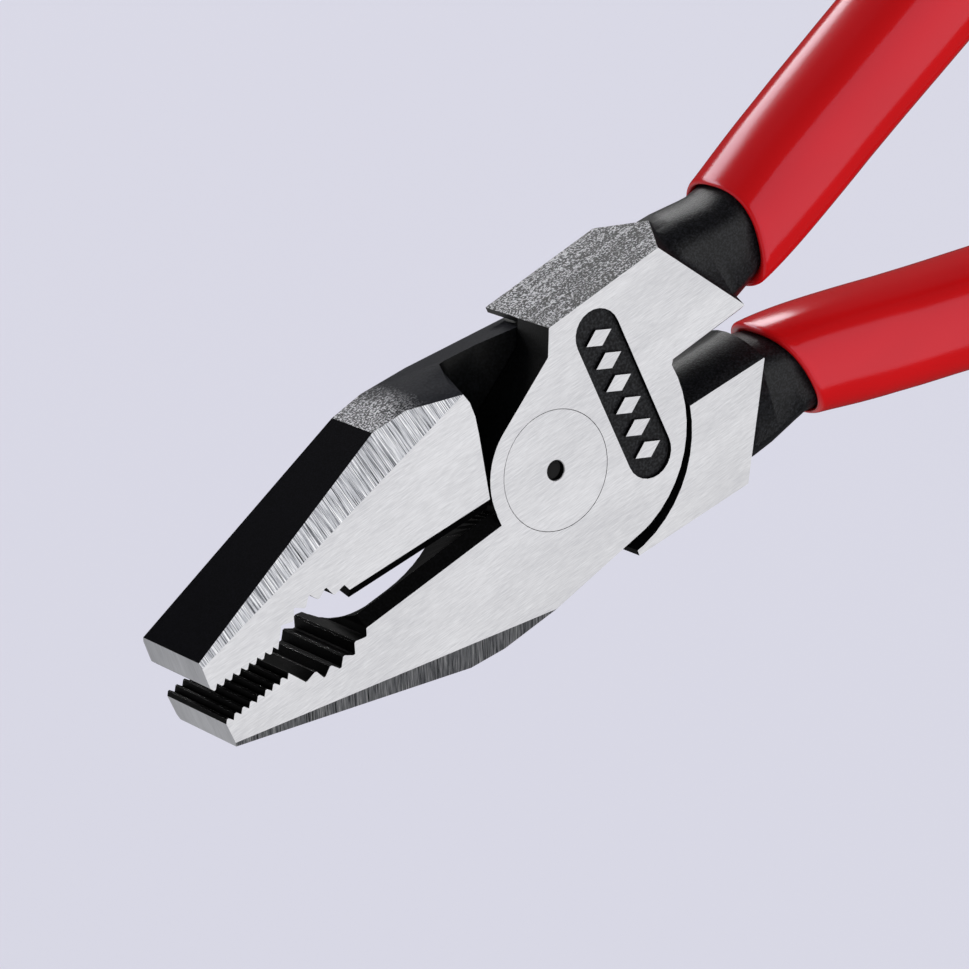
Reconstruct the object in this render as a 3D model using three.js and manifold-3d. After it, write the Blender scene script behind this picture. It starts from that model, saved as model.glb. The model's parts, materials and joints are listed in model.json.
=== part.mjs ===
// Lineman pliers: two forged steel halves crossing at a lap joint, one flush rivet, two dipped grips.
// Millimetres. The origin is on the rivet's axis at the back face of the head. +X points to the jaw
// tips, +Y to the side where the front half has its jaw, +Z out of the front face.
import * as THREE from 'three';
import { mergeVertices } from 'three/addons/utils/BufferGeometryUtils.js';
import Module from 'manifold-3d';

const wasm = await Module();
wasm.setup();

// ---------------------------------------------------------------- driving dimensions
const HEAD_THICKNESS = 12; // over the ground front and back faces
const LAP_GAP = 0.3; // play between the two lap plates
const REST_OPENING = 4.4; // degrees between the halves as modelled; 0 is jaws shut
const TIP_X = 46.4; // rivet axis to jaw tips

// Outer side of a jaw and its plate at mid height, from behind the rivet to the tip.
const OUTER_SIDE = [[-4.7, 13.9], [3.1, 15.1], [10.7, 15.1], [17.8, 14.5], [TIP_X, 3.55]];

// Each chamfer starts at a plan line on the ground face and falls `drop` over `run` outwards.
const JAW_CHAMFER = { from: [TIP_X, 2.95], to: [14.4, 11.75], run: 3.5, drop: 2.05 };
const SIDE_DRAFT = { from: [8, 14], to: [-4.4, 12.9], run: 1.3, drop: 5.5 };
const FACE_END = { from: [-28.8, -2.6], to: [-22, -14.3], run: 3, drop: 6 };

const FINE_TEETH = { from: 46.1, count: 8, pitch: 1.05, depth: 0.55 };
const PIPE_GRIP = {
  from: 37.7, to: 27.6, // along the jaw
  middle: 32.2, depth: 3.4, curl: 0.071, // the oval: depth - curl * (x - middle)²
  pitch: 2.05, ridge: 0.85, crestHalf: 0.12,
};
const JAW_PLAY = 0.06; // from the centre line to the teeth of a shut jaw
const CUTTER = {
  from: 8.5, to: 27.7, // along the jaw
  bevel: 1.35, bevelDepth: 1.2, // the short slope at the front face
  reliefDegrees: 30, heelX: 18.5, heelRound: 10, endX: 22.5, endRound: 6.4, // the wide V at the back
};

// End wall of the jaw beside the other half's plate, at the ground face and at the lap plane.
const END_WALL_FACE = [
  [8.75, -1], [8.6, 1.4], [7.2, 8.5], [6.85, 10.7], [6.9, 12.5], [7.35, 13.8], [8.4, 14.9], [9.2, 17],
];
const END_WALL_ROOT = [
  [8.75, -1], [8.7, 1.2], [6.1, 7.6], [5.2, 10.6], [5.1, 12.2], [5.4, 13.8], [5.6, 15], [5.8, 17],
];

const PLATE_END = { x: -4.6, y: -0.4, radius: 13.3 }; // round rear end of a lap plate
const PLATE_SEAT = { x: -4.2, y: 0.15, radius: 14.15 }; // hollow of the other half that clears it
const PLATE_FRONT_RADIUS = 8.45; // round front edge of a lap plate, about the rivet

const SHOULDER = { frontX: -6.1, rearX: -28.9, sideY: -14.5, innerY: -2.3, crownRadius: 10 };

const RIVET = { head: 6.7, headDepth: 2.6, shank: 4.6, play: 0.05, axialPlay: 0.3, facets: 48 };
const RIVET_DIMPLE = { radius: 1.1, depth: 1.4 };

const RECESS = { x: -11.1, y: -2.5, length: 21.4, width: 5.8, depth: 0.55, marksBelowFace: 0.05 };
const LOZENGE = { count: 6, pitch: 2.95, length: 3.6, width: 2 };

// Centre line of a handle, and its widths and thicknesses as rows of [distance behind the rivet, size].
const HANDLE_LINE = [[-19, -7.4], [-26, -7.5], [-33.4, -7.9], [-45, -10.7], [-60, -14.7], [-75, -18.5],
  [-92, -21.7], [-112, -23.4], [-136, -23.6], [-160, -22.4], [-182, -20.4]];
const TANG_WIDTH = [
  [19, 12.8], [24, 13.4], [28, 12.3], [31, 10.9], [33.4, 9.9], [37, 9.2], [60, 8.4], [172, 7],
];
const TANG_THICKNESS = [[19, 12.4], [28, 12.4], [32, 11.9], [35, 10.9], [60, 9.4], [172, 8]];
const GRIP_WIDTH = [[33.4, 12.5], [55, 12.5], [100, 13.4], [150, 13.2], [179, 12.6]];
const GRIP_THICKNESS = [[33.4, 13.6], [55, 14.2], [100, 15.2], [150, 15], [179, 14.4]];
const TANG_POWER = 2.6; // how square the rounded sections are
const GRIP_POWER = 2.6;
const NECK_STEP = 0.55; // from the ground face down to the forged flat of the neck

const NECK_X = -33.4; // where the neck enters its grip
const TANG_END_X = -172;
const GRIP_END_X = -179;
const RIM_ROUNDING = 0.8;
const RIM_FLARE = [[33.4, 0.4], [50, 0]]; // how far the grip stands inwards of its tang
const RIM_LEAN = [[33.4, -20], [36, -16], [45, 0]]; // degrees that the rim leans, longer on the inside
const TANG_PLAY = 0.35; // between the tang and the bore of its grip

const GROUND_STEEL = { color: 0xcfd0d4, roughness: 0.32, metalness: 1 };
const RED_PLASTIC = { color: 0xbe1419, roughness: 0.25, metalness: 0 };

const T = HEAD_THICKNESS;
const LAP_HIGH = (T + LAP_GAP) / 2;
const FAR = 100; // beyond the head in every direction
const CURVE_STEPS = 12;
const BAR_SIDES = 28;
const UP = new THREE.Vector3(0, 0, 1);

// ---------------------------------------------------------------- solids
function solid(geometry) {
  const bare = geometry.clone();
  bare.deleteAttribute('normal');
  bare.deleteAttribute('uv');
  const merged = mergeVertices(bare, 1e-4);
  return new wasm.Manifold(new wasm.Mesh({
    numProp: 3,
    vertProperties: merged.attributes.position.array,
    triVerts: new Uint32Array(merged.index.array),
  }));
}

function geometryOf(body) {
  const mesh = body.getMesh();
  const geometry = new THREE.BufferGeometry();
  geometry.setAttribute('position', new THREE.BufferAttribute(mesh.vertProperties, 3));
  geometry.setIndex(new THREE.BufferAttribute(mesh.triVerts, 1));
  return geometry;
}

function shapeOf(points) {
  return new THREE.Shape(points.map(([x, y]) => new THREE.Vector2(x, y)));
}

// An upright prism; `topPoints`, as many as `points`, lets its outline change on the way up.
function prism(points, bottom, top, topPoints = points) {
  const geometry = new THREE.ExtrudeGeometry(shapeOf(points), { depth: 1, bevelEnabled: false });
  const position = geometry.attributes.position;
  for (let i = 0; i < position.count; i++) {
    const isTop = position.getZ(i) > 0.5;
    const distance = ([x, y]) => Math.hypot(x - position.getX(i), y - position.getY(i));
    const [x, y] = isTop ? topPoints[points.findIndex((p) => distance(p) < 1e-4)]
      : [position.getX(i), position.getY(i)];
    position.setXYZ(i, x, y, isTop ? top : bottom);
  }
  return solid(geometry);
}

// A prism whose section, given as [y, z] points, is carried along X.
function prismAlongX(section, fromX, toX) {
  const options = { depth: toX - fromX, bevelEnabled: false };
  const geometry = new THREE.ExtrudeGeometry(shapeOf(section), options);
  geometry.applyMatrix4(new THREE.Matrix4().makeBasis(
    new THREE.Vector3(0, 1, 0),
    new THREE.Vector3(0, 0, 1),
    new THREE.Vector3(1, 0, 0),
  ));
  return solid(geometry.translate(fromX, 0, 0));
}

// An upright round bar about a plan point.
function round(x, y, radius, bottom, top) {
  const height = top - bottom;
  const geometry = new THREE.CylinderGeometry(radius, radius, height, RIVET.facets);
  geometry.rotateX(Math.PI / 2);
  return solid(geometry.translate(x, y, (bottom + top) / 2));
}

// Points on a round stretch about a centre, from one angle in degrees to another.
function arc(centreX, centreY, radius, from, to, steps = CURVE_STEPS) {
  return Array.from({ length: steps + 1 }, (_, i) => {
    const angle = THREE.MathUtils.degToRad(from + ((to - from) * i) / steps);
    return [centreX + radius * Math.cos(angle), centreY + radius * Math.sin(angle)];
  });
}

// All the space on the side of a plane that its normal points to, as a big block.
function spaceBeyond(point, normal) {
  const geometry = new THREE.BoxGeometry(4 * FAR, 4 * FAR, 2 * FAR).translate(0, 0, FAR);
  const direction = new THREE.Vector3(...normal).normalize();
  geometry.applyQuaternion(new THREE.Quaternion().setFromUnitVectors(UP, direction));
  return solid(geometry.translate(...point));
}

// Cuts the same slope from the front and the back edge of a body, to the right of a plan line.
function chamfer(body, { from: [ax, ay], to: [bx, by], run, drop }) {
  const length = Math.hypot(bx - ax, by - ay);
  const [nx, ny] = [((by - ay) / length) * drop, (-(bx - ax) / length) * drop];
  return body
    .subtract(spaceBeyond([ax, ay, T], [nx, ny, run]))
    .subtract(spaceBeyond([ax, ay, 0], [nx, ny, -run]));
}

// Straight interpolation between rows of [position, value].
function valueAt(rows, position) {
  const next = rows.findIndex(([p]) => p >= position);
  if (next < 0) return rows[rows.length - 1][1];
  if (next === 0) return rows[0][1];
  const [p0, v0] = rows[next - 1];
  const [p1, v1] = rows[next];
  return v0 + ((v1 - v0) * (position - p0)) / (p1 - p0);
}

const handleCurve = new THREE.CatmullRomCurve3(
  HANDLE_LINE.map(([x, y]) => new THREE.Vector3(x, y, T / 2)),
);

// The curve's parameter where it reaches an x, which falls steadily along it.
function parameterAt(x) {
  let [low, high] = [0, 1];
  for (let i = 0; i < 30; i++) {
    const middle = (low + high) / 2;
    if (handleCurve.getPoint(middle).x > x) low = middle;
    else high = middle;
  }
  return low;
}

// A closed bar along the handle: a unit cylinder whose rings become rounded rectangles.
// Each station is { x, width, thickness, lean, shift }: lean turns its ring off square, in degrees,
// shift moves it towards the other handle, and the power says how square the section is.
function handleBar(stations, power) {
  const rings = stations.length - 1;
  const geometry = new THREE.CylinderGeometry(1, 1, rings, BAR_SIDES, rings);
  const position = geometry.attributes.position;
  const shaped = (v) => Math.sign(v) * Math.abs(v) ** (2 / power);
  for (let i = 0; i < position.count; i++) {
    const station = stations[Math.round(position.getY(i) + rings / 2)];
    const t = parameterAt(station.x);
    const centre = handleCurve.getPoint(t);
    const along = handleCurve.getTangent(t);
    along.applyAxisAngle(UP, THREE.MathUtils.degToRad(station.lean));
    const across = (shaped(position.getX(i)) * station.width) / 2 + station.shift;
    const up = (shaped(position.getZ(i)) * station.thickness) / 2;
    position.setXYZ(i, centre.x + along.y * across, centre.y - along.x * across, centre.z + up);
  }
  return solid(geometry);
}

// ---------------------------------------------------------------- one half, jaws shut
// In its own frame a half has its jaw on +Y, its lap plate in the front layer, its handle on -Y.

// Inner edge of the jaw from the tip to the cutter: fine teeth, then an oval of coarse ridges.
function toothedEdge() {
  const points = [[TIP_X, 0.5], [FINE_TEETH.from, JAW_PLAY]];
  for (let i = 0; i < FINE_TEETH.count; i++) {
    const x = FINE_TEETH.from - i * FINE_TEETH.pitch;
    points.push([x - 0.2 * FINE_TEETH.pitch, JAW_PLAY]);
    points.push([x - 0.6 * FINE_TEETH.pitch, JAW_PLAY + FINE_TEETH.depth]);
    points.push([x - FINE_TEETH.pitch, JAW_PLAY]);
  }
  const { from, to, middle, depth, curl, pitch, ridge, crestHalf } = PIPE_GRIP;
  const rootHeight = (x) => depth - curl * (x - middle) ** 2;
  // A ridge stands square to the oval, so its flat top leans towards the middle.
  const crestAt = (x) => {
    const slope = -2 * curl * (x - middle);
    const rise = ridge / Math.hypot(slope, 1);
    const [topX, topY] = [x + slope * rise, rootHeight(x) - rise];
    return [1, -1].map((side) => [topX + side * crestHalf, topY + side * crestHalf * slope]);
  };
  points.push([from, JAW_PLAY]);
  for (let i = 2; i >= -2; i--) {
    const root = middle + i * pitch;
    points.push([root + crestHalf, rootHeight(root)], [root - crestHalf, rootHeight(root)]);
    if (i > -2) points.push(...crestAt(root - 0.5 * pitch));
  }
  return [...points, [to, CUTTER.bevel], [to - 0.1, JAW_PLAY]];
}

function jaw() {
  const rootX = 5; // inside the lap plate, so the two join
  const outline = [...toothedEdge(), [rootX, JAW_PLAY], [rootX, 15.1], ...OUTER_SIDE.slice(2)];
  const behind = [[-FAR, 17], [-FAR, -1]];
  const face = [...END_WALL_FACE, ...behind];
  const root = [...END_WALL_ROOT, ...behind];
  return prism(outline, 0, T).subtract(prism(face, 0, LAP_HIGH, root).add(prism(face, -1, 0)));
}

function lapPlate() {
  const heel = [[12, 14], [12, 2], [8.6, 1.3]];
  return prism([
    ...heel,
    ...arc(0, 0, PLATE_FRONT_RADIUS, 5, -60),
    [-4.6, -11.7], [SHOULDER.frontX, SHOULDER.sideY],
    [-20, SHOULDER.sideY], [-20, -2.6], [-18.4, -2.5],
    ...arc(PLATE_END.x, PLATE_END.y, PLATE_END.radius, 186, 97),
    ...OUTER_SIDE.slice(0, 3),
  ], LAP_HIGH, T);
}

// Full thickness behind the joint: ground flat outside, crowned towards the other handle.
function shoulder() {
  const { frontX, rearX, sideY, innerY, crownRadius } = SHOULDER;
  const halfAngle = THREE.MathUtils.radToDeg(Math.asin(T / 2 / crownRadius));
  const crownCentre = innerY - Math.sqrt(crownRadius ** 2 - (T / 2) ** 2);
  const crown = arc(crownCentre, T / 2, crownRadius, -halfAngle, halfAngle, 8);
  const block = prismAlongX([[sideY, 0], ...crown, [sideY, T]], rearX, frontX);
  const seat = [
    ...arc(PLATE_SEAT.x, PLATE_SEAT.y, PLATE_SEAT.radius, 266, 174),
    [-10, 5], [FAR, 5], [FAR, -14],
  ];
  return chamfer(block.subtract(prism(seat, -1, LAP_HIGH)), FACE_END);
}

function tangStations(extra, endX) {
  const xs = [-19, -22, -25, -27.5, -29.5, -31.5, -33.4, -38, -45, -60, -75, -92, -112, -136, -156, endX];
  return xs.map((x) => ({
    x,
    width: valueAt(TANG_WIDTH, -x) + 2 * extra,
    thickness: valueAt(TANG_THICKNESS, -x) + 2 * extra,
    lean: 0,
    shift: 0,
  }));
}

// The forged neck and the tang behind it, flat front and back.
function neckAndTang() {
  return handleBar(tangStations(0, TANG_END_X), TANG_POWER)
    .subtract(spaceBeyond([0, 0, T - NECK_STEP], [0, 0, 1]))
    .subtract(spaceBeyond([0, 0, NECK_STEP], [0, 0, -1]));
}

// The cutting edges lie near the front of the head and open as one wide V towards its back. The V's
// flank is straight from `heelX` to `endX` and runs out in a quarter round at each end.
function cutterVoid(opensTowardsBack) {
  const { from, to, bevel, bevelDepth, reliefDegrees, heelX, heelRound, endX, endRound } = CUTTER;
  const heightOf = (z) => (opensTowardsBack ? z : T - z);
  const edge = T - bevelDepth;
  const below = 1;
  const reach = (edge + below) * Math.tan(THREE.MathUtils.degToRad(reliefDegrees));
  const runOut = (x, length, start) => arc(0, 0, 1, start, start + 90)
    .map(([u, v]) => [x + u * length, JAW_PLAY + v * reach]);
  const flank = [...runOut(endX, endRound, 0), ...runOut(heelX, heelRound, 90)];
  const wide = [[heelX - heelRound, -1], [endX + endRound, -1], ...flank];
  const narrow = wide.map(([x, y]) => [x, y < 0 ? -1 : JAW_PLAY]);
  const relief = opensTowardsBack
    ? prism(wide, -below, edge, narrow)
    : prism(narrow, T - edge, T + below, wide);
  const slopeEnd = [JAW_PLAY + 2 * bevel, edge + 2 * bevelDepth];
  const slope = [[-1, edge], [JAW_PLAY, edge], slopeEnd, [-1, T + 2]];
  return relief.add(prismAlongX(slope.map(([y, z]) => [y, heightOf(z)]), from, to));
}

function rivetVoid() {
  const { head, headDepth, shank, play, axialPlay } = RIVET;
  const seatDepth = headDepth + axialPlay;
  return round(0, 0, shank + play, -1, T + 1)
    .add(round(0, 0, head + play, -1, seatDepth))
    .add(round(0, 0, head + play, T - seatDepth, T + 1));
}

// A pill-shaped recess with a row of plain raised lozenges standing in it.
function markedRecess() {
  const { x, y, length, width, depth, marksBelowFace } = RECESS;
  const reach = (length - width) / 2;
  const pill = [
    ...arc(x, y + reach, width / 2, 0, 180),
    ...arc(x, y - reach, width / 2, 180, 360),
  ];
  let recess = prism(pill, T - depth, T + 1);
  for (let i = 0; i < LOZENGE.count; i++) {
    const middle = y + (i - (LOZENGE.count - 1) / 2) * LOZENGE.pitch;
    const outline = [
      [x - LOZENGE.length / 2, middle], [x, middle - LOZENGE.width / 2],
      [x + LOZENGE.length / 2, middle], [x, middle + LOZENGE.width / 2],
    ];
    recess = recess.subtract(prism(outline, T - depth - 1, T - marksBelowFace));
  }
  return recess;
}

function half({ opensTowardsBack, marked }) {
  let head = jaw().add(lapPlate());
  head = chamfer(chamfer(head, JAW_CHAMFER), SIDE_DRAFT);
  const body = head
    .add(shoulder())
    .add(neckAndTang())
    .subtract(cutterVoid(opensTowardsBack))
    .subtract(rivetVoid());
  return marked ? body.subtract(markedRecess()) : body;
}

// A sleeve dipped over the tang: open with a rolled rim at the neck, domed at the far end.
function grip() {
  const rim = [[NECK_X, RIM_ROUNDING], [NECK_X - 0.3, 0.35], [NECK_X - 0.9, 0]];
  const middle = [-45, -60, -75, -92, -112, -136, -156, -170].map((x) => [x, 0]);
  const dome = [[-174, 0.5], [-176.5, 1.6], [-178.2, 3.2], [GRIP_END_X, 5]];
  const stations = [...rim, ...middle, ...dome].map(([x, inset]) => ({
    x,
    width: valueAt(GRIP_WIDTH, -x) - 2 * inset,
    thickness: valueAt(GRIP_THICKNESS, -x) - 2 * inset,
    lean: valueAt(RIM_LEAN, -x),
    shift: valueAt(RIM_FLARE, -x),
  }));
  const bore = handleBar(tangStations(TANG_PLAY, TANG_END_X - TANG_PLAY), TANG_POWER);
  return handleBar(stations, GRIP_POWER).subtract(bore);
}

// Turned about an upright axis; the dimple marks the front end.
function rivet() {
  const { head, headDepth, shank } = RIVET;
  const profile = [
    [0, 0], [head, 0], [head, headDepth], [shank, headDepth], [shank, T - headDepth],
    [head, T - headDepth], [head, T], [RIVET_DIMPLE.radius, T],
    [RIVET_DIMPLE.radius, T - RIVET_DIMPLE.depth + 0.6], [0, T - RIVET_DIMPLE.depth],
  ];
  const outline = profile.map(([radius, z]) => new THREE.Vector2(radius, z));
  const geometry = new THREE.LatheGeometry(outline, RIVET.facets);
  return geometryOf(solid(geometry.rotateX(Math.PI / 2)));
}

// ---------------------------------------------------------------- assembly
function part(name, geometry, finish) {
  const mesh = new THREE.Mesh(geometry, new THREE.MeshStandardMaterial(finish));
  mesh.name = name;
  return mesh;
}

const halfOpening = THREE.MathUtils.degToRad(REST_OPENING / 2);

const frontHalf = new THREE.Group();
frontHalf.rotation.z = halfOpening;
frontHalf.add(
  part('front_half', geometryOf(half({ opensTowardsBack: true, marked: true })), GROUND_STEEL),
  part('pivot_rivet', rivet(), GROUND_STEEL),
  part('front_grip', geometryOf(grip()), RED_PLASTIC),
);

// The rear half is the same forging turned over about the long axis.
const turnedOver = new THREE.Group();
turnedOver.rotation.x = Math.PI;
turnedOver.position.z = T;
turnedOver.add(
  part('rear_half', geometryOf(half({ opensTowardsBack: false, marked: false })), GROUND_STEEL),
  part('rear_grip', geometryOf(grip()), RED_PLASTIC),
);
const rearHalf = new THREE.Group();
rearHalf.rotation.z = -halfOpening;
rearHalf.add(turnedOver);

const pliers = new THREE.Group();
pliers.add(frontHalf, rearHalf);

export default pliers;
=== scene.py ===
"""Lineman pliers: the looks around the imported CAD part. Metres, in the part's own frame.

The two forged halves are the CAD solids with their edges broken. The grips and the rivet are
surfaces worked out here, on the handle line and sizes of the CAD part.
"""
import json
import math

import bmesh
import bpy
import numpy as np
from mathutils import Matrix, Vector
from mathutils.geometry import interpolate_bezier


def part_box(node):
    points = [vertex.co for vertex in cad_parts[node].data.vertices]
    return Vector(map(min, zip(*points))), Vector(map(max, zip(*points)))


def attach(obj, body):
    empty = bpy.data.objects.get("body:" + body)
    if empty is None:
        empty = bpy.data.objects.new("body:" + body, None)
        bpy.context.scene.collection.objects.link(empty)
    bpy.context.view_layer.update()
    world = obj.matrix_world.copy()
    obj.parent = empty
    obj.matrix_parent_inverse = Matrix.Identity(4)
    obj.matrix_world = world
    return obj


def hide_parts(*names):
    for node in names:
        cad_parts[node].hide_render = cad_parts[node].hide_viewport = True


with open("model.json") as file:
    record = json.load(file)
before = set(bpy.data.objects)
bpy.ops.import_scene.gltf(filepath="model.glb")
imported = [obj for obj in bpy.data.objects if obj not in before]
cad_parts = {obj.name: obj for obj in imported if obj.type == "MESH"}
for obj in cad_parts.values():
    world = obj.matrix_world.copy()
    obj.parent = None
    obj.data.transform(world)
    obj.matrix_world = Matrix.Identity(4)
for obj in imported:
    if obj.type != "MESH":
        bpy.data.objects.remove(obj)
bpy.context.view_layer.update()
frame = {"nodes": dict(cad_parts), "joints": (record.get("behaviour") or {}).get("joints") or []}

MM = 0.001
HEAD_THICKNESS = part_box("front_half")[1].z
HALF_OPENING = math.radians(-frame["joints"][0]["range_deg"][0]) / 2

# ---------------------------------------------------------------- sizes, in millimetres
# A half's own frame has the jaws shut, its jaw towards +Y, its handle towards -Y and its plate in
# front. This is the middle of its handle.
HANDLE_LINE = [(-19, -7.4), (-26, -7.5), (-33.4, -7.9), (-45, -10.7), (-60, -14.7), (-75, -18.5),
               (-92, -21.7), (-112, -23.4), (-136, -23.6), (-160, -22.4), (-182, -20.4)]
SPAN_POINTS = 24  # of the curve, from one point of the handle line to the next
# Rows of (distance behind the rivet, size).
TANG_WIDTH = [(28, 12.3), (31, 10.9), (33.4, 9.9), (37, 9.2), (60, 8.4), (172, 7)]
TANG_THICKNESS = [(28, 12.4), (32, 11.9), (35, 10.9), (60, 9.4), (172, 8)]
GRIP_WIDTH = [(33.4, 12.5), (55, 12.5), (100, 13.4), (150, 13.2), (179, 12.6)]
GRIP_THICKNESS = [(33.4, 13.6), (55, 14.2), (100, 15.2), (150, 15), (179, 14.4)]
RIM_LEAN = [(33.4, 20), (36, 16), (45, 0)]  # degrees
RIM_FLARE = [(33.4, 0.4), (50, 0)]  # how far the grip stands inwards of its tang
RIM_X = -34.1
RIM_ROUNDING = 0.7
GRIP_SHRINK = 0.994  # keeps the smooth skin inside the box of the faceted CAD part
GRIP_END_X = -179
DOME_LENGTH = 9
DOME_POWER = 0.9  # 1 gives an ellipse, less a blunter end
BORE_END_X = -172.3
BORE_PLAY = 0.05
SECTION_POWER = 2.6  # how square the rounded sections are
NECK_FLAT = 5.45  # half the thickness over the forged flats of the neck
OUTER_FLAT = 5  # added to that on the outer skin, which then has no flats
GRIP_COLUMNS = 96
BORE_ROWS, RIM_ROWS, SKIN_ROWS, DOME_ROWS = 90, 12, 150, 16

RIVET_RADIUS = 6.7
RIVET_HEAD_DEPTH = 2.6
RIVET_SHANK = 4.6
RIVET_EDGE = 0.03
RIVET_INNER_RING = 2  # the first ring of the flat back end
RIVET_COLUMNS = 128
DIMPLE_RADIUS = 1.1
DIMPLE_DEPTH = 1.4
DIMPLE_EDGE = 0.08
DIMPLE_CONE = 0.6  # depth of the cone at its bottom

MERGE_DISTANCE = 0.002
EDGE_BREAK = 0.07  # width of the broken edges of the forgings
UNBROKEN_BEHIND_X = -30  # the edges inside the grips and just before them stay sharp
# Angles between two faces.
FLAT_BELOW = math.radians(0.6)  # they are one flat face
SMOOTH_BELOW = math.radians(24)  # shading runs on over their edge
BREAK_ABOVE = math.radians(28)  # their edge is broken

# Where the finishes of a half change, in its own frame.
TIP_X = 45.5
SATIN_X = 17.8  # the jaw's outer side is satin in front of this and blasted behind it
PATCH_X = (12, 15.5)  # the blasted patch fades in between these
PATCH_RAGGEDNESS = 3
CHAMFER_X = 10
GAP_X = 8  # the teeth and the cutter are in front of this
JAW_SIDE_X = -6
MILLED_X = -5
RECESS_X = (-15, -7)
FORGED_X = -18  # the neck is behind this
JAW_SIDE_Y = 3
CHAMFER_Y = 2.5
CREST_Y = 4.5
GAP_Y = 7
MILLED_Y = -14


# ---------------------------------------------------------------- helpers
def linear(hex_colour):
    """sRGB hex to linear RGBA."""
    channels = [int(hex_colour[i:i + 2], 16) / 255 for i in (1, 3, 5)]
    return (*[c / 12.92 if c <= 0.04045 else ((c + 0.055) / 1.055) ** 2.4 for c in channels], 1)


def grey(level):
    """A linear grey."""
    return (level, level, level, 1)


def add(tree, kind, inputs=None, **settings):
    """A node of this kind with its settings; inputs maps sockets to values or to other outputs."""
    made = tree.nodes.new("ShaderNode" + kind)
    for name, value in settings.items():
        setattr(made, name, value)
    for socket, value in (inputs or {}).items():
        if isinstance(value, bpy.types.NodeSocket):
            tree.links.new(value, made.inputs[socket])
        else:
            made.inputs[socket].default_value = value
    return made


def new_material(name):
    """A material with no nodes yet, and its tree."""
    material = bpy.data.materials.new(name)
    material.use_nodes = True
    material.node_tree.nodes.clear()
    return material, material.node_tree


def finish_material(tree, surface):
    """This shader becomes the material's surface."""
    output = add(tree, "OutputMaterial")
    tree.links.new(surface.outputs[0], output.inputs["Surface"])


def ramp(tree, factor, *stops):
    """A colour ramp on a factor; each stop is (position, linear colour)."""
    made = add(tree, "ValToRGB", {"Fac": factor})
    elements = made.color_ramp.elements
    while len(elements) < len(stops):
        elements.new(0.5)
    for element, (position, colour) in zip(elements, stops):
        element.position = position
        element.color = colour
    return made.outputs["Color"]


def place(tree, per_mm):
    """Object coordinates for a pattern with this many features a millimetre on x, y and z."""
    coordinates = add(tree, "TexCoord").outputs["Object"]
    scale = [count / MM for count in per_mm]
    made = add(tree, "Mapping", {"Vector": coordinates, "Scale": scale})
    return made.outputs["Vector"]


def noise(tree, per_mm, detail, roughness=0.5):
    """A factor about 0.5 of noise with this many features a millimetre on x, y and z."""
    made = add(tree, "TexNoise", {"Vector": place(tree, per_mm), "Scale": 1, "Detail": detail,
                                  "Roughness": roughness})
    return made.outputs["Fac"]


def mesh_object(name, mesh, materials):
    made = bpy.data.objects.new(name, mesh)
    bpy.context.scene.collection.objects.link(made)
    for material in materials:
        mesh.materials.append(material)
    return made


def grid_mesh(name, points, first_pole, last_pole):
    """A closed skin over rows x columns of points, the columns joined round, with a fan at each end."""
    rows, columns = points.shape[:2]
    index = np.arange(rows * columns).reshape(rows, columns)
    right = np.roll(index, -1, axis=1)
    quads = np.stack([index[:-1], right[:-1], right[1:], index[1:]], axis=-1).reshape(-1, 4)
    vertices = np.concatenate([points.reshape(-1, 3), [first_pole, last_pole]])
    start, end = rows * columns, rows * columns + 1
    first_fan = np.stack([np.full(columns, start), right[0], index[0]], axis=-1)
    last_fan = np.stack([np.full(columns, end), index[-1], right[-1]], axis=-1)
    faces = [*quads.tolist(), *first_fan.tolist(), *last_fan.tolist()]
    mesh = bpy.data.meshes.new(name)
    mesh.from_pydata(vertices.tolist(), [], faces)
    mesh.shade_smooth()
    return mesh


def stand_for(piece, node, body):
    """The piece rides on the body and takes the CAD node's place."""
    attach(piece, body)
    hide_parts(node)


# ---------------------------------------------------------------- materials
def scratches(tree, fine_per_mm, broad_per_mm, fine_share):
    """A factor about 0.5 of fine lines over broader ones, and the fine lines alone."""
    fine = noise(tree, fine_per_mm, detail=3, roughness=0.7)
    broad = noise(tree, broad_per_mm, detail=2)
    both = add(tree, "Mix", {"Factor": fine_share, "A": broad, "B": fine}, data_type="FLOAT")
    return both.outputs["Result"], fine


def ground_steel():
    """Chrome vanadium tool steel, surface ground and lightly polished.

    Pale and satin, with fine straight grinding lines along the tool. Real lines are about 0.05 mm
    apart; they are drawn about 0.11 mm apart so that they show.
    """
    material, tree = new_material("ground_steel")
    lines, fine = scratches(tree, (0.6, 9, 0.6), (0.06, 0.3, 0.06), 0.75)
    colour = ramp(tree, lines, (0.36, linear("#B2B2B6")), (0.5, linear("#C0C0C3")),
                  (0.64, linear("#CDCDD0")))
    roughness = add(tree, "MapRange", {"Value": fine, "To Min": 0.3, "To Max": 0.4})
    bump = add(tree, "Bump", {"Height": fine, "Strength": 0.15, "Distance": 0.01 * MM})
    shader = add(tree, "BsdfPrincipled", {"Base Color": colour, "Metallic": 1.0,
                                          "Roughness": roughness.outputs[0],
                                          "Normal": bump.outputs[0]})
    finish_material(tree, shader)
    return material


def cross_ground_steel():
    """The same steel, ground across the jaw with a coarser belt.

    Mid grey with distinct parallel scratches that run across the chamfer, 0.07 to 0.2 mm apart.
    """
    material, tree = new_material("cross_ground_steel")
    lines, fine = scratches(tree, (15, 0.22, 0.22), (5.2, 0.09, 0.09), 0.75)
    colour = ramp(tree, lines, (0.4, linear("#1C1D20")), (0.46, linear("#96989E")),
                  (0.54, linear("#C6C7CD")), (0.6, linear("#F8F8F9")))
    bump = add(tree, "Bump", {"Height": fine, "Strength": 0.3, "Distance": 0.02 * MM})
    shader = add(tree, "BsdfPrincipled", {"Base Color": colour, "Metallic": 1.0, "Roughness": 0.46,
                                          "Normal": bump.outputs[0]})
    finish_material(tree, shader)
    return material


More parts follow.
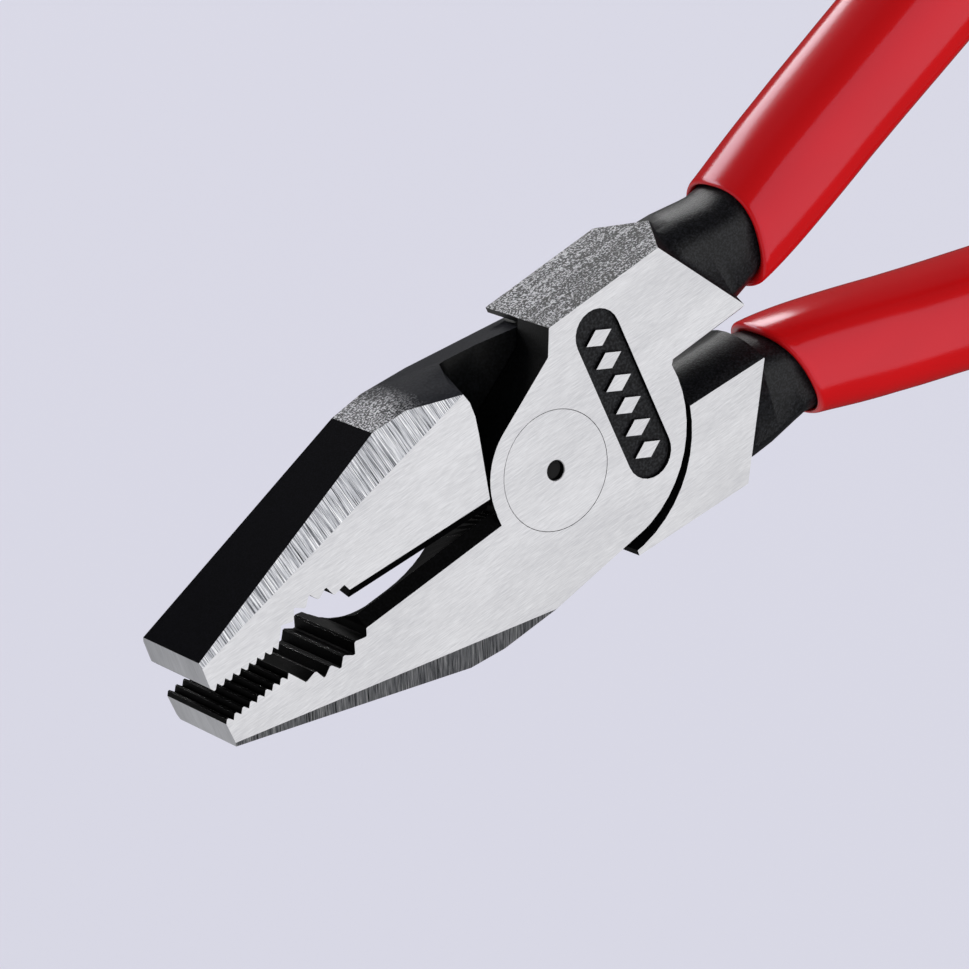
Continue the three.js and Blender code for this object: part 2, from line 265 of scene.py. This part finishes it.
def dull_steel():
    """The jaw tips: finely ground flat and left dull.

    An even mid grey, with faint lines about 0.15 mm apart.
    """
    material, tree = new_material("dull_ground_steel")
    lines, _ = scratches(tree, (0.42, 0.42, 6.5), (0.1, 0.1, 0.3), 0.6)
    colour = ramp(tree, lines, (0.35, linear("#A4A5AA")), (0.65, linear("#C2C3C8")))
    shader = add(tree, "BsdfPrincipled", {"Base Color": colour, "Metallic": 1.0, "Roughness": 0.42})
    finish_material(tree, shader)
    return material


def black_oxide(name, dark, light, roughness, grain_mm, specular, bump=0.35):
    """Forged or machined steel blackened in a hot oxide bath and oiled.

    Near black and satin. Its grain, from forging or blasting, catches small points of light.
    """
    material, tree = new_material(name)
    grain = noise(tree, (1 / grain_mm,) * 3, detail=3, roughness=0.6)
    colour = ramp(tree, grain, (0.42, linear(dark)), (0.7, linear(light)))
    relief = add(tree, "Bump", {"Height": grain, "Strength": bump, "Distance": 0.05 * MM})
    shader = add(tree, "BsdfPrincipled", {"Base Color": colour, "Metallic": 0.0,
                                          "Roughness": roughness, "Specular IOR Level": specular,
                                          "Normal": relief.outputs[0]})
    finish_material(tree, shader)
    return material


def grained_steel(tree, dark, middle, light, streaks):
    """A shader of oxide cut through to grey metal: salt and pepper, with grains of about 0.24 mm.

    streaks is the share of broader lines along the tool, left by a cutter about 1.1 mm apart.
    """
    grain = noise(tree, (4.2,) * 3, detail=2, roughness=0.6)
    lines = noise(tree, (0.05, 0.9, 0.9), detail=2)
    both = add(tree, "Mix", {"Factor": streaks, "A": grain, "B": lines}, data_type="FLOAT")
    colour = ramp(tree, both.outputs["Result"], (0.4, linear(dark)), (0.5, linear(middle)),
                  (0.58, linear(light)))
    relief = add(tree, "Bump", {"Height": grain, "Strength": 0.6, "Distance": 0.06 * MM})
    return add(tree, "BsdfPrincipled", {"Base Color": colour, "Metallic": 0.5, "Roughness": 0.5,
                                        "Normal": relief.outputs[0]})


def milled_steel():
    """The shoulder's outer side, milled through the oxide: grainy, with broad lines along the tool."""
    material, tree = new_material("milled_steel")
    finish_material(tree, grained_steel(tree, "#030304", "#232427", "#B2B2B6", streaks=0.2))
    return material


def blasted_oxide():
    """The jaw's outer side beside the joint: smooth dark oxide that fades into a grainy blasted patch.

    The fade takes about 3.5 mm and is ragged, because the grain of the oxide shifts it. Its middle
    lies about 12 mm in front of the rivet.
    """
    material, tree = new_material("blasted_oxide")
    blasted = grained_steel(tree, "#0A0A0C", "#4A4B4F", "#BEBEC2", streaks=0.0)
    grain = noise(tree, (3.3,) * 3, detail=3)
    colour = ramp(tree, grain, (0.35, linear("#26272B")), (0.65, linear("#303136")))
    smooth = add(tree, "BsdfPrincipled", {"Base Color": colour, "Roughness": 0.6,
                                          "Specular IOR Level": 0.05})
    position = add(tree, "SeparateXYZ", {0: add(tree, "TexCoord").outputs["Object"]}).outputs["X"]
    ragged = add(tree, "Math", {0: grain, 1: PATCH_RAGGEDNESS * MM, 2: position},
                 operation="MULTIPLY_ADD")
    blend = add(tree, "MapRange", {"Value": ragged.outputs[0], "From Min": PATCH_X[0] * MM,
                                   "From Max": PATCH_X[1] * MM})
    both = add(tree, "MixShader", {0: blend.outputs[0], 1: smooth.outputs[0], 2: blasted.outputs[0]})
    finish_material(tree, both)
    return material


def worn_crest():
    """Sharp crests where the oxide has rubbed off in specks of about 0.4 mm, so that they glint."""
    material, tree = new_material("worn_crest")
    specks = noise(tree, (2.6,) * 3, detail=1)
    colour = ramp(tree, specks, (0.46, linear("#060607")), (0.54, linear("#FFFFFF")))
    shader = add(tree, "BsdfPrincipled", {"Base Color": colour, "Metallic": 0.9, "Roughness": 0.5})
    finish_material(tree, shader)
    return material


def dipped_pvc():
    """Red PVC plastisol, dipped and cured.

    Deep glossy red. The skin has slight waves, about 14 mm long and 7 mm across, so that
    reflections bend a little.
    """
    material, tree = new_material("dipped_pvc_red")
    waves = noise(tree, (0.07, 0.14, 0.14), detail=1)
    tint = ramp(tree, waves, (0.3, linear("#CE1519")), (0.7, linear("#D4161A")))
    bump = add(tree, "Bump", {"Height": waves, "Strength": 0.25, "Distance": 0.2 * MM})
    shader = add(tree, "BsdfPrincipled", {"Base Color": tint, "Roughness": 0.16,
                                          "Specular IOR Level": 0.34,
                                          "Specular Tint": linear("#D8DEFF"),
                                          "Normal": bump.outputs[0]})
    finish_material(tree, shader)
    return material


def dark_dimple():
    """The inside of the rivet's centre dimple: near black."""
    material, tree = new_material("dimple_near_black")
    shader = add(tree, "BsdfPrincipled", {"Base Color": linear("#08080A"), "Roughness": 0.5,
                                          "Specular IOR Level": 0.2})
    finish_material(tree, shader)
    return material


GROUND = ground_steel()
DIMPLE = dark_dimple()
PVC = dipped_pvc()
FINISHES = {
    "ground": GROUND,
    "chamfer": cross_ground_steel(),
    "tip": dull_steel(),
    # Plain blackened steel: near black, with a soft shine.
    "oxide": black_oxide("black_oxide", "#020202", "#101113", roughness=0.42, grain_mm=0.25,
                         specular=0.12),
    # The jaw's outer side, machined smooth: blue black and matt.
    "satin": black_oxide("black_oxide_satin", "#08080B", "#14141A", roughness=0.55, grain_mm=0.16,
                         specular=0.01, bump=0.15),
    # Between the jaws: painted shade, a black darker and with less shine than the plain oxide, where
    # little light comes in.
    "gap": black_oxide("black_oxide_gap_painted_shade", "#010101", "#0B0B0D", roughness=0.5, grain_mm=0.25,
                       specular=0.04),
    # The pressed bottom of the recess: charcoal, with a visible grain.
    "recess": black_oxide("black_oxide_recess", "#131315", "#323336", roughness=0.5, grain_mm=0.3,
                          specular=0.1),
    # The neck, with the scale of the forging: rough and sparkling.
    "forged": black_oxide("black_oxide_forged", "#08080A", "#28292D", roughness=0.33, grain_mm=0.24,
                          specular=0.2, bump=1.0),
    "blasted": blasted_oxide(),
    "milled": milled_steel(),
    "crest": worn_crest(),
}
SLOT_ORDER = list(FINISHES)
CURVED_SLOTS = [SLOT_ORDER.index(finish) for finish in ("oxide", "forged", "blasted")]


# ---------------------------------------------------------------- the halves' own frames
def about_z(angle):
    """The matrix of a turn about the Z axis."""
    return np.array([[math.cos(angle), -math.sin(angle), 0],
                     [math.sin(angle), math.cos(angle), 0],
                     [0, 0, 1]])


def own_frame(points, is_front, directions=False):
    """Points of the part, or directions, in the own frame of their half."""
    made = points @ about_z(-HALF_OPENING if is_front else HALF_OPENING).T
    if not is_front:
        made = made * [1, -1, -1]
        if not directions:
            made[:, 2] += HEAD_THICKNESS
    return made


def part_frame(points, is_front):
    """Points of a half's own frame, in millimetres, where they lie in the part, in metres."""
    if not is_front:
        points = points * [1, -1, -1] + [0, 0, HEAD_THICKNESS / MM]
    return points @ about_z(HALF_OPENING if is_front else -HALF_OPENING).T * MM


# ---------------------------------------------------------------- the forged halves
def finish_of(centres, normals, broken):
    """The finish of each face, from where it lies on its half, its direction and if it breaks an edge.

    The first rule that holds gives the finish, and a face with none is plain oxide. The limits on
    nx, ny and tilt are cosines: tilt is 1 on a face that lies flat and 0 on one that stands.
    """
    x, y, z = (centres / MM).T
    nx, ny, nz = normals.T
    tilt = np.abs(nz)
    top = HEAD_THICKNESS / MM
    on_face = (tilt > 0.99) & ((z > top - 0.1) | (z < 0.1))
    slanted = (tilt > 0.6) & (tilt < 0.97)
    in_recess = (x > RECESS_X[0]) & (x < RECESS_X[1]) & (z > top - 1)
    rules = [
        (on_face, "ground"),
        (broken & (x > GAP_X) & (y < CREST_Y) & (tilt < 0.4), "crest"),
        (slanted & (ny > 0.25) & (x > CHAMFER_X) & (y > CHAMFER_Y), "chamfer"),
        ((nx > 0.9) & (x > TIP_X), "tip"),
        # the faces between the jaws take the black with painted shade
        ((ny < 0.3) & (x > GAP_X) & (y < GAP_Y) & (tilt < 0.97), "gap"),
        ((ny > 0.6) & (y > JAW_SIDE_Y) & (tilt < 0.5) & (x > SATIN_X), "satin"),
        ((ny > 0.4) & (y > JAW_SIDE_Y) & (x > JAW_SIDE_X), "blasted"),
        (in_recess & (tilt > 0.95), "recess"),
        ((ny < -0.9) & (y < MILLED_Y) & (x < MILLED_X), "milled"),
        (x < FORGED_X, "forged"),
    ]
    chosen = np.full(len(x), SLOT_ORDER.index("oxide"))
    for mask, finish in reversed(rules):
        chosen[mask] = SLOT_ORDER.index(finish)
    return chosen


def broken_copy(node, name):
    """A merged copy of a CAD half with its sharp edges broken; those faces have material index 1."""
    work = bmesh.new()
    work.from_mesh(frame["nodes"][node].data)
    bmesh.ops.remove_doubles(work, verts=work.verts, dist=MERGE_DISTANCE * MM)
    bmesh.ops.dissolve_limit(work, angle_limit=FLAT_BELOW, verts=work.verts, edges=work.edges)
    work.normal_update()
    sharp = [e for e in work.edges if len(e.link_faces) == 2
             and e.is_convex and e.calc_face_angle() > BREAK_ABOVE
             and min(v.co.x for v in e.verts) > UNBROKEN_BEHIND_X * MM]
    bevels = bmesh.ops.bevel(work, geom=sharp, offset=EDGE_BREAK * MM, segments=1, profile=0.5,
                             affect="EDGES", clamp_overlap=True)
    for face in bevels["faces"]:
        face.material_index = 1
    bmesh.ops.triangulate(work, faces=[f for f in work.faces if len(f.verts) > 4])
    mesh = bpy.data.meshes.new(name)
    work.to_mesh(mesh)
    work.free()
    return mesh


def forging(node, body, name):
    """A CAD half with its edges broken, a finish for each face, and smooth shading on curved ones."""
    mesh = broken_copy(node, name)
    count = len(mesh.polygons)
    centres, normals, broken = np.empty(count * 3), np.empty(count * 3), np.empty(count, np.int32)
    mesh.polygons.foreach_get("material_index", broken)
    mesh.polygons.foreach_get("center", centres)
    mesh.polygons.foreach_get("normal", normals)
    is_front = body == "front"
    slots = finish_of(own_frame(centres.reshape(-1, 3), is_front),
                      own_frame(normals.reshape(-1, 3), is_front, directions=True), broken == 1)
    made = mesh_object(name, mesh, [FINISHES[finish] for finish in SLOT_ORDER])
    mesh.polygons.foreach_set("material_index", slots.astype(np.int32))
    mesh.shade_smooth()
    mesh.set_sharp_from_angle(angle=SMOOTH_BELOW)
    mesh.polygons.foreach_set("use_smooth", np.isin(slots, CURVED_SLOTS))
    mesh.update()
    stand_for(made, node, body)


# ---------------------------------------------------------------- the grips
def smooth_line(points):
    """Dense points on the smooth curve through these: a cubic from each point to the next.

    The curve's direction at a point is that from the point before it to the one after it, and at
    an end that to its one neighbour.
    """
    points = np.array(points, float)
    slopes = np.gradient(points, axis=0)
    dense = []
    for i in range(len(points) - 1):
        a, b = points[i], points[i + 1]
        handles = [a, a + slopes[i] / 3, b - slopes[i + 1] / 3, b]
        span = interpolate_bezier(*[Vector((*h, 0)) for h in handles], SPAN_POINTS)
        dense += [list(p)[:2] for p in span][:-1]
    return np.array([*dense, points[-1]])


LINE_X, LINE_Y = smooth_line(HANDLE_LINE)[::-1].T
LINE_SLOPE = np.gradient(LINE_Y, LINE_X)


def along(rows, x):
    """The size in these rows at handle positions x (negative, behind the rivet)."""
    positions, values = zip(*rows)
    return np.interp(-x, positions, values)


def squared(wave):
    """A sine or cosine to the power 2/p, with its sign, as a superellipse of power p has it."""
    return np.sign(wave) * np.abs(wave) ** (2 / SECTION_POWER)


def bar_points(x, angle, width, thickness, flat=math.inf, shift=0.0):
    """Points on a bar along the handle line, in millimetres, in its half's own frame.

    At distance x the section is a superellipse: |cos|^(2/p) and |sin|^(2/p) of the angle, times half
    the width across the line and half the thickness up, cut off at the flats, about the line's point
    at x, moved inwards by the shift.
    """
    across = squared(np.cos(angle)) * width / 2 + shift
    up = np.clip(squared(np.sin(angle)) * thickness / 2, -flat, flat)
    centre_y = np.interp(x, LINE_X, LINE_Y)
    slope = np.interp(x, LINE_X, LINE_SLOPE)
    length = np.hypot(1, slope)
    return np.stack([x - slope / length * across, centre_y + across / length,
                     HEAD_THICKNESS / MM / 2 + up], axis=-1)


def grip(body, node, name):
    """A dipped sleeve: up the bore from its blind end, round the rolled rim, back to a domed end.

    The rows share one set of section angles. From bore to outer skin the size goes by half a cosine
    round the rim, and the dome narrows by a power of a cosine. Near the mouth each point is shifted
    along the handle by the tangent of the rim's lean times its distance across, so that the rim
    leans, and the outer skin stands inwards by the flare.
    """
    angle = np.linspace(0, 2 * math.pi, GRIP_COLUMNS, endpoint=False) + 0.5 * math.pi / GRIP_COLUMNS
    bore_x = np.linspace(BORE_END_X, RIM_X, BORE_ROWS)
    rim = np.linspace(0, math.pi, RIM_ROWS)[1:-1]
    skin_x = np.linspace(RIM_X, GRIP_END_X + DOME_LENGTH, SKIN_ROWS)
    dome = np.linspace(0, 0.5 * math.pi, DOME_ROWS)[1:-1]
    x = np.concatenate([bore_x, RIM_X + RIM_ROUNDING * np.sin(rim), skin_x,
                        GRIP_END_X + DOME_LENGTH * (1 - np.sin(dome))])
    outer = np.concatenate([0 * bore_x, (1 - np.cos(rim)) / 2, 1 + 0 * skin_x, 1 + 0 * dome])
    narrowing = np.concatenate([1 + 0 * bore_x, 1 + 0 * rim, 1 + 0 * skin_x,
                                np.cos(dome) ** DOME_POWER])
    lean = np.radians(along(RIM_LEAN, np.minimum(x, RIM_X)))
    bore_width = along(TANG_WIDTH, x) + 2 * BORE_PLAY
    bore_thickness = along(TANG_THICKNESS, x) + 2 * BORE_PLAY
    width = bore_width + outer * (along(GRIP_WIDTH, x) * GRIP_SHRINK * np.cos(lean) - bore_width)
    thickness = bore_thickness + outer * (along(GRIP_THICKNESS, x) * GRIP_SHRINK - bore_thickness)
    shift = outer * along(RIM_FLARE, x)
    flat = NECK_FLAT + BORE_PLAY + outer * OUTER_FLAT
    across = squared(np.cos(angle)) * width[:, None] / 2
    leaned_x = x[:, None] + np.tan(lean)[:, None] * across
    points = bar_points(leaned_x, angle, (width * narrowing)[:, None],
                        (thickness * narrowing)[:, None], flat[:, None], shift[:, None])
    ends = [bar_points(np.array(end_x), 0.0, 0.0, 0.0) for end_x in (BORE_END_X, GRIP_END_X)]
    placed = part_frame(np.concatenate([points.reshape(-1, 3), ends]), body == "front")
    mesh = grid_mesh(name, placed[:-2].reshape(*points.shape), placed[-2], placed[-1])
    work = bmesh.new()
    work.from_mesh(mesh)
    bmesh.ops.recalc_face_normals(work, faces=work.faces)
    work.to_mesh(mesh)
    work.free()
    made = mesh_object(name, mesh, [PVC])
    stand_for(made, node, body)


# ---------------------------------------------------------------- the rivet
def rivet():
    """A turned rivet: a profile of (radius, height) carried round the Z axis."""
    top = HEAD_THICKNESS / MM
    edge, radius, shank, depth = RIVET_EDGE, RIVET_RADIUS, RIVET_SHANK, RIVET_HEAD_DEPTH
    profile = np.array([
        (RIVET_INNER_RING, 0), (radius - edge, 0), (radius, edge), (radius, depth),
        (shank, depth), (shank, top - depth),
        (radius, top - depth), (radius, top - edge), (radius - edge, top),
        (DIMPLE_RADIUS + DIMPLE_EDGE, top), (DIMPLE_RADIUS, top - DIMPLE_EDGE),
        (DIMPLE_RADIUS, top - DIMPLE_DEPTH + DIMPLE_CONE),
    ]) * MM
    angle = np.linspace(0, 2 * math.pi, RIVET_COLUMNS, endpoint=False)
    radii, heights = profile[:, :1], profile[:, 1:]
    points = np.stack([radii * np.cos(angle), radii * np.sin(angle), heights + 0 * angle], axis=-1)
    mesh = grid_mesh("rivet", points, (0, 0, 0), (0, 0, (top - DIMPLE_DEPTH) * MM))
    mesh.set_sharp_from_angle(angle=SMOOTH_BELOW)
    made = mesh_object("pivot_rivet_turned", mesh, [GROUND, DIMPLE])
    centres = np.empty(len(mesh.polygons) * 3)
    mesh.polygons.foreach_get("center", centres)
    x, y, z = centres.reshape(-1, 3).T
    in_dimple = (np.hypot(x, y) < DIMPLE_RADIUS * MM) & (z > HEAD_THICKNESS / 2)
    mesh.polygons.foreach_set("material_index", in_dimple.astype(np.int32))
    stand_for(made, "pivot_rivet", "front")


# ---------------------------------------------------------------- camera, light and floor
CAMERA_PLACE = (0.21380, -0.24407, 0.43535)
CAMERA_RIGHT = (-0.7562, 0.3393, 0.5595)
CAMERA_UP = (-0.5265, -0.8233, -0.2123)
CAMERA_BACK = (0.3886, -0.4551, 0.8012)
LENS = 185.76  # mm
SENSOR_WIDTH = 36  # mm
VIEW_END = 20
FLOOR_Z = -0.25
FLOOR_RADIUS = 0.9
FLOOR_SIDES = 64
PALE_SIDE = (0.83, 0.35, -0.4)  # the direction, from the tool, of the room's pale side


def camera():
    """A long lens in front of the tips, on the rear jaw's side, above the front face."""
    data = bpy.data.cameras.new("camera")
    data.lens = LENS
    data.sensor_width = SENSOR_WIDTH
    data.clip_end = VIEW_END
    made = bpy.data.objects.new("camera", data)
    columns = [(*CAMERA_RIGHT, 0), (*CAMERA_UP, 0), (*CAMERA_BACK, 0), (*CAMERA_PLACE, 1)]
    made.matrix_world = Matrix(columns).transposed()
    bpy.context.scene.collection.objects.link(made)
    bpy.context.scene.camera = made


def softbox(name, place_m, aim_m, size_m, radiance):
    """A rectangular area light from one point towards another; its power gives this radiance."""
    data = bpy.data.lights.new(name, "AREA")
    data.shape = "RECTANGLE"
    data.size, data.size_y = size_m
    data.energy = radiance * math.pi * size_m[0] * size_m[1]
    made = bpy.data.objects.new(name, data)
    made.location = place_m
    made.rotation_mode = "QUATERNION"
    made.rotation_quaternion = (Vector(place_m) - Vector(aim_m)).to_track_quat("Z", "Y")
    made.visible_camera = False
    bpy.context.scene.collection.objects.link(made)


def room():
    """A dim room with a plain pale backdrop, which only the camera sees.

    The room is pale beyond the tips and below, which the tips mirror, and dark elsewhere: its level
    follows the cosine between a direction and the pale side.
    """
    world = bpy.data.worlds.new("room")
    world.use_nodes = True
    tree = world.node_tree
    tree.nodes.clear()
    direction = add(tree, "TexCoord").outputs["Generated"]
    facing = add(tree, "VectorMath", {0: direction, 1: PALE_SIDE}, operation="DOT_PRODUCT")
    level = ramp(tree, facing.outputs["Value"], (0.0, grey(0.07)), (0.25, grey(0.05)),
                 (0.65, grey(0.66)))
    walls = add(tree, "Background", {"Color": level, "Strength": 1.0})
    backdrop = add(tree, "Background", {"Color": linear("#D9D8E4"), "Strength": 1.0})
    seen = add(tree, "LightPath").outputs["Is Camera Ray"]
    both = add(tree, "MixShader", {0: seen, 1: walls.outputs[0], 2: backdrop.outputs[0]})
    output = add(tree, "OutputWorld")
    tree.links.new(both.outputs[0], output.inputs["Surface"])
    bpy.context.scene.world = world


def pale_floor():
    """A round matt floor well under the tool."""
    material, tree = new_material("studio_floor")
    shader = add(tree, "BsdfPrincipled", {"Base Color": linear("#8C8C96"), "Roughness": 0.9,
                                          "Emission Color": linear("#D8D8E4"),
                                          "Emission Strength": 0.7, "Specular IOR Level": 0.0})
    finish_material(tree, shader)
    turn = np.linspace(0, 2 * math.pi, FLOOR_SIDES, endpoint=False)
    rim = np.stack([FLOOR_RADIUS * np.cos(turn), FLOOR_RADIUS * np.sin(turn), FLOOR_Z + 0 * turn],
                   axis=-1)
    mesh = bpy.data.meshes.new("floor")
    mesh.from_pydata(rim.tolist(), [], [list(range(FLOOR_SIDES))])
    floor = mesh_object("floor", mesh, [material])
    floor.visible_glossy = False  # the room's lower half stands for it in reflections


def studio():
    """The room, two softboxes and the floor."""
    bpy.context.scene.view_settings.view_transform = "Standard"
    room()
    softbox("softbox_overhead", place_m=(-0.45, -0.1, 1.42), aim_m=(-0.45, -0.1, 0),
            size_m=(3.0, 3.0), radiance=1.4)
    # A strip low beside the tool: the thin bright line on the front grip and the glints on the neck.
    softbox("softbox_low_strip", place_m=(-0.088, -0.139, -0.211), aim_m=(-0.045, -0.019, 0.004),
            size_m=(0.3, 0.055), radiance=6.5)
    pale_floor()


camera()
forging("front_half", "front", "front_half_forging")
forging("rear_half", "rear", "rear_half_forging")
rivet()
grip("front", "front_grip", "front_grip_sleeve")
grip("rear", "rear_grip", "rear_grip_sleeve")
studio()
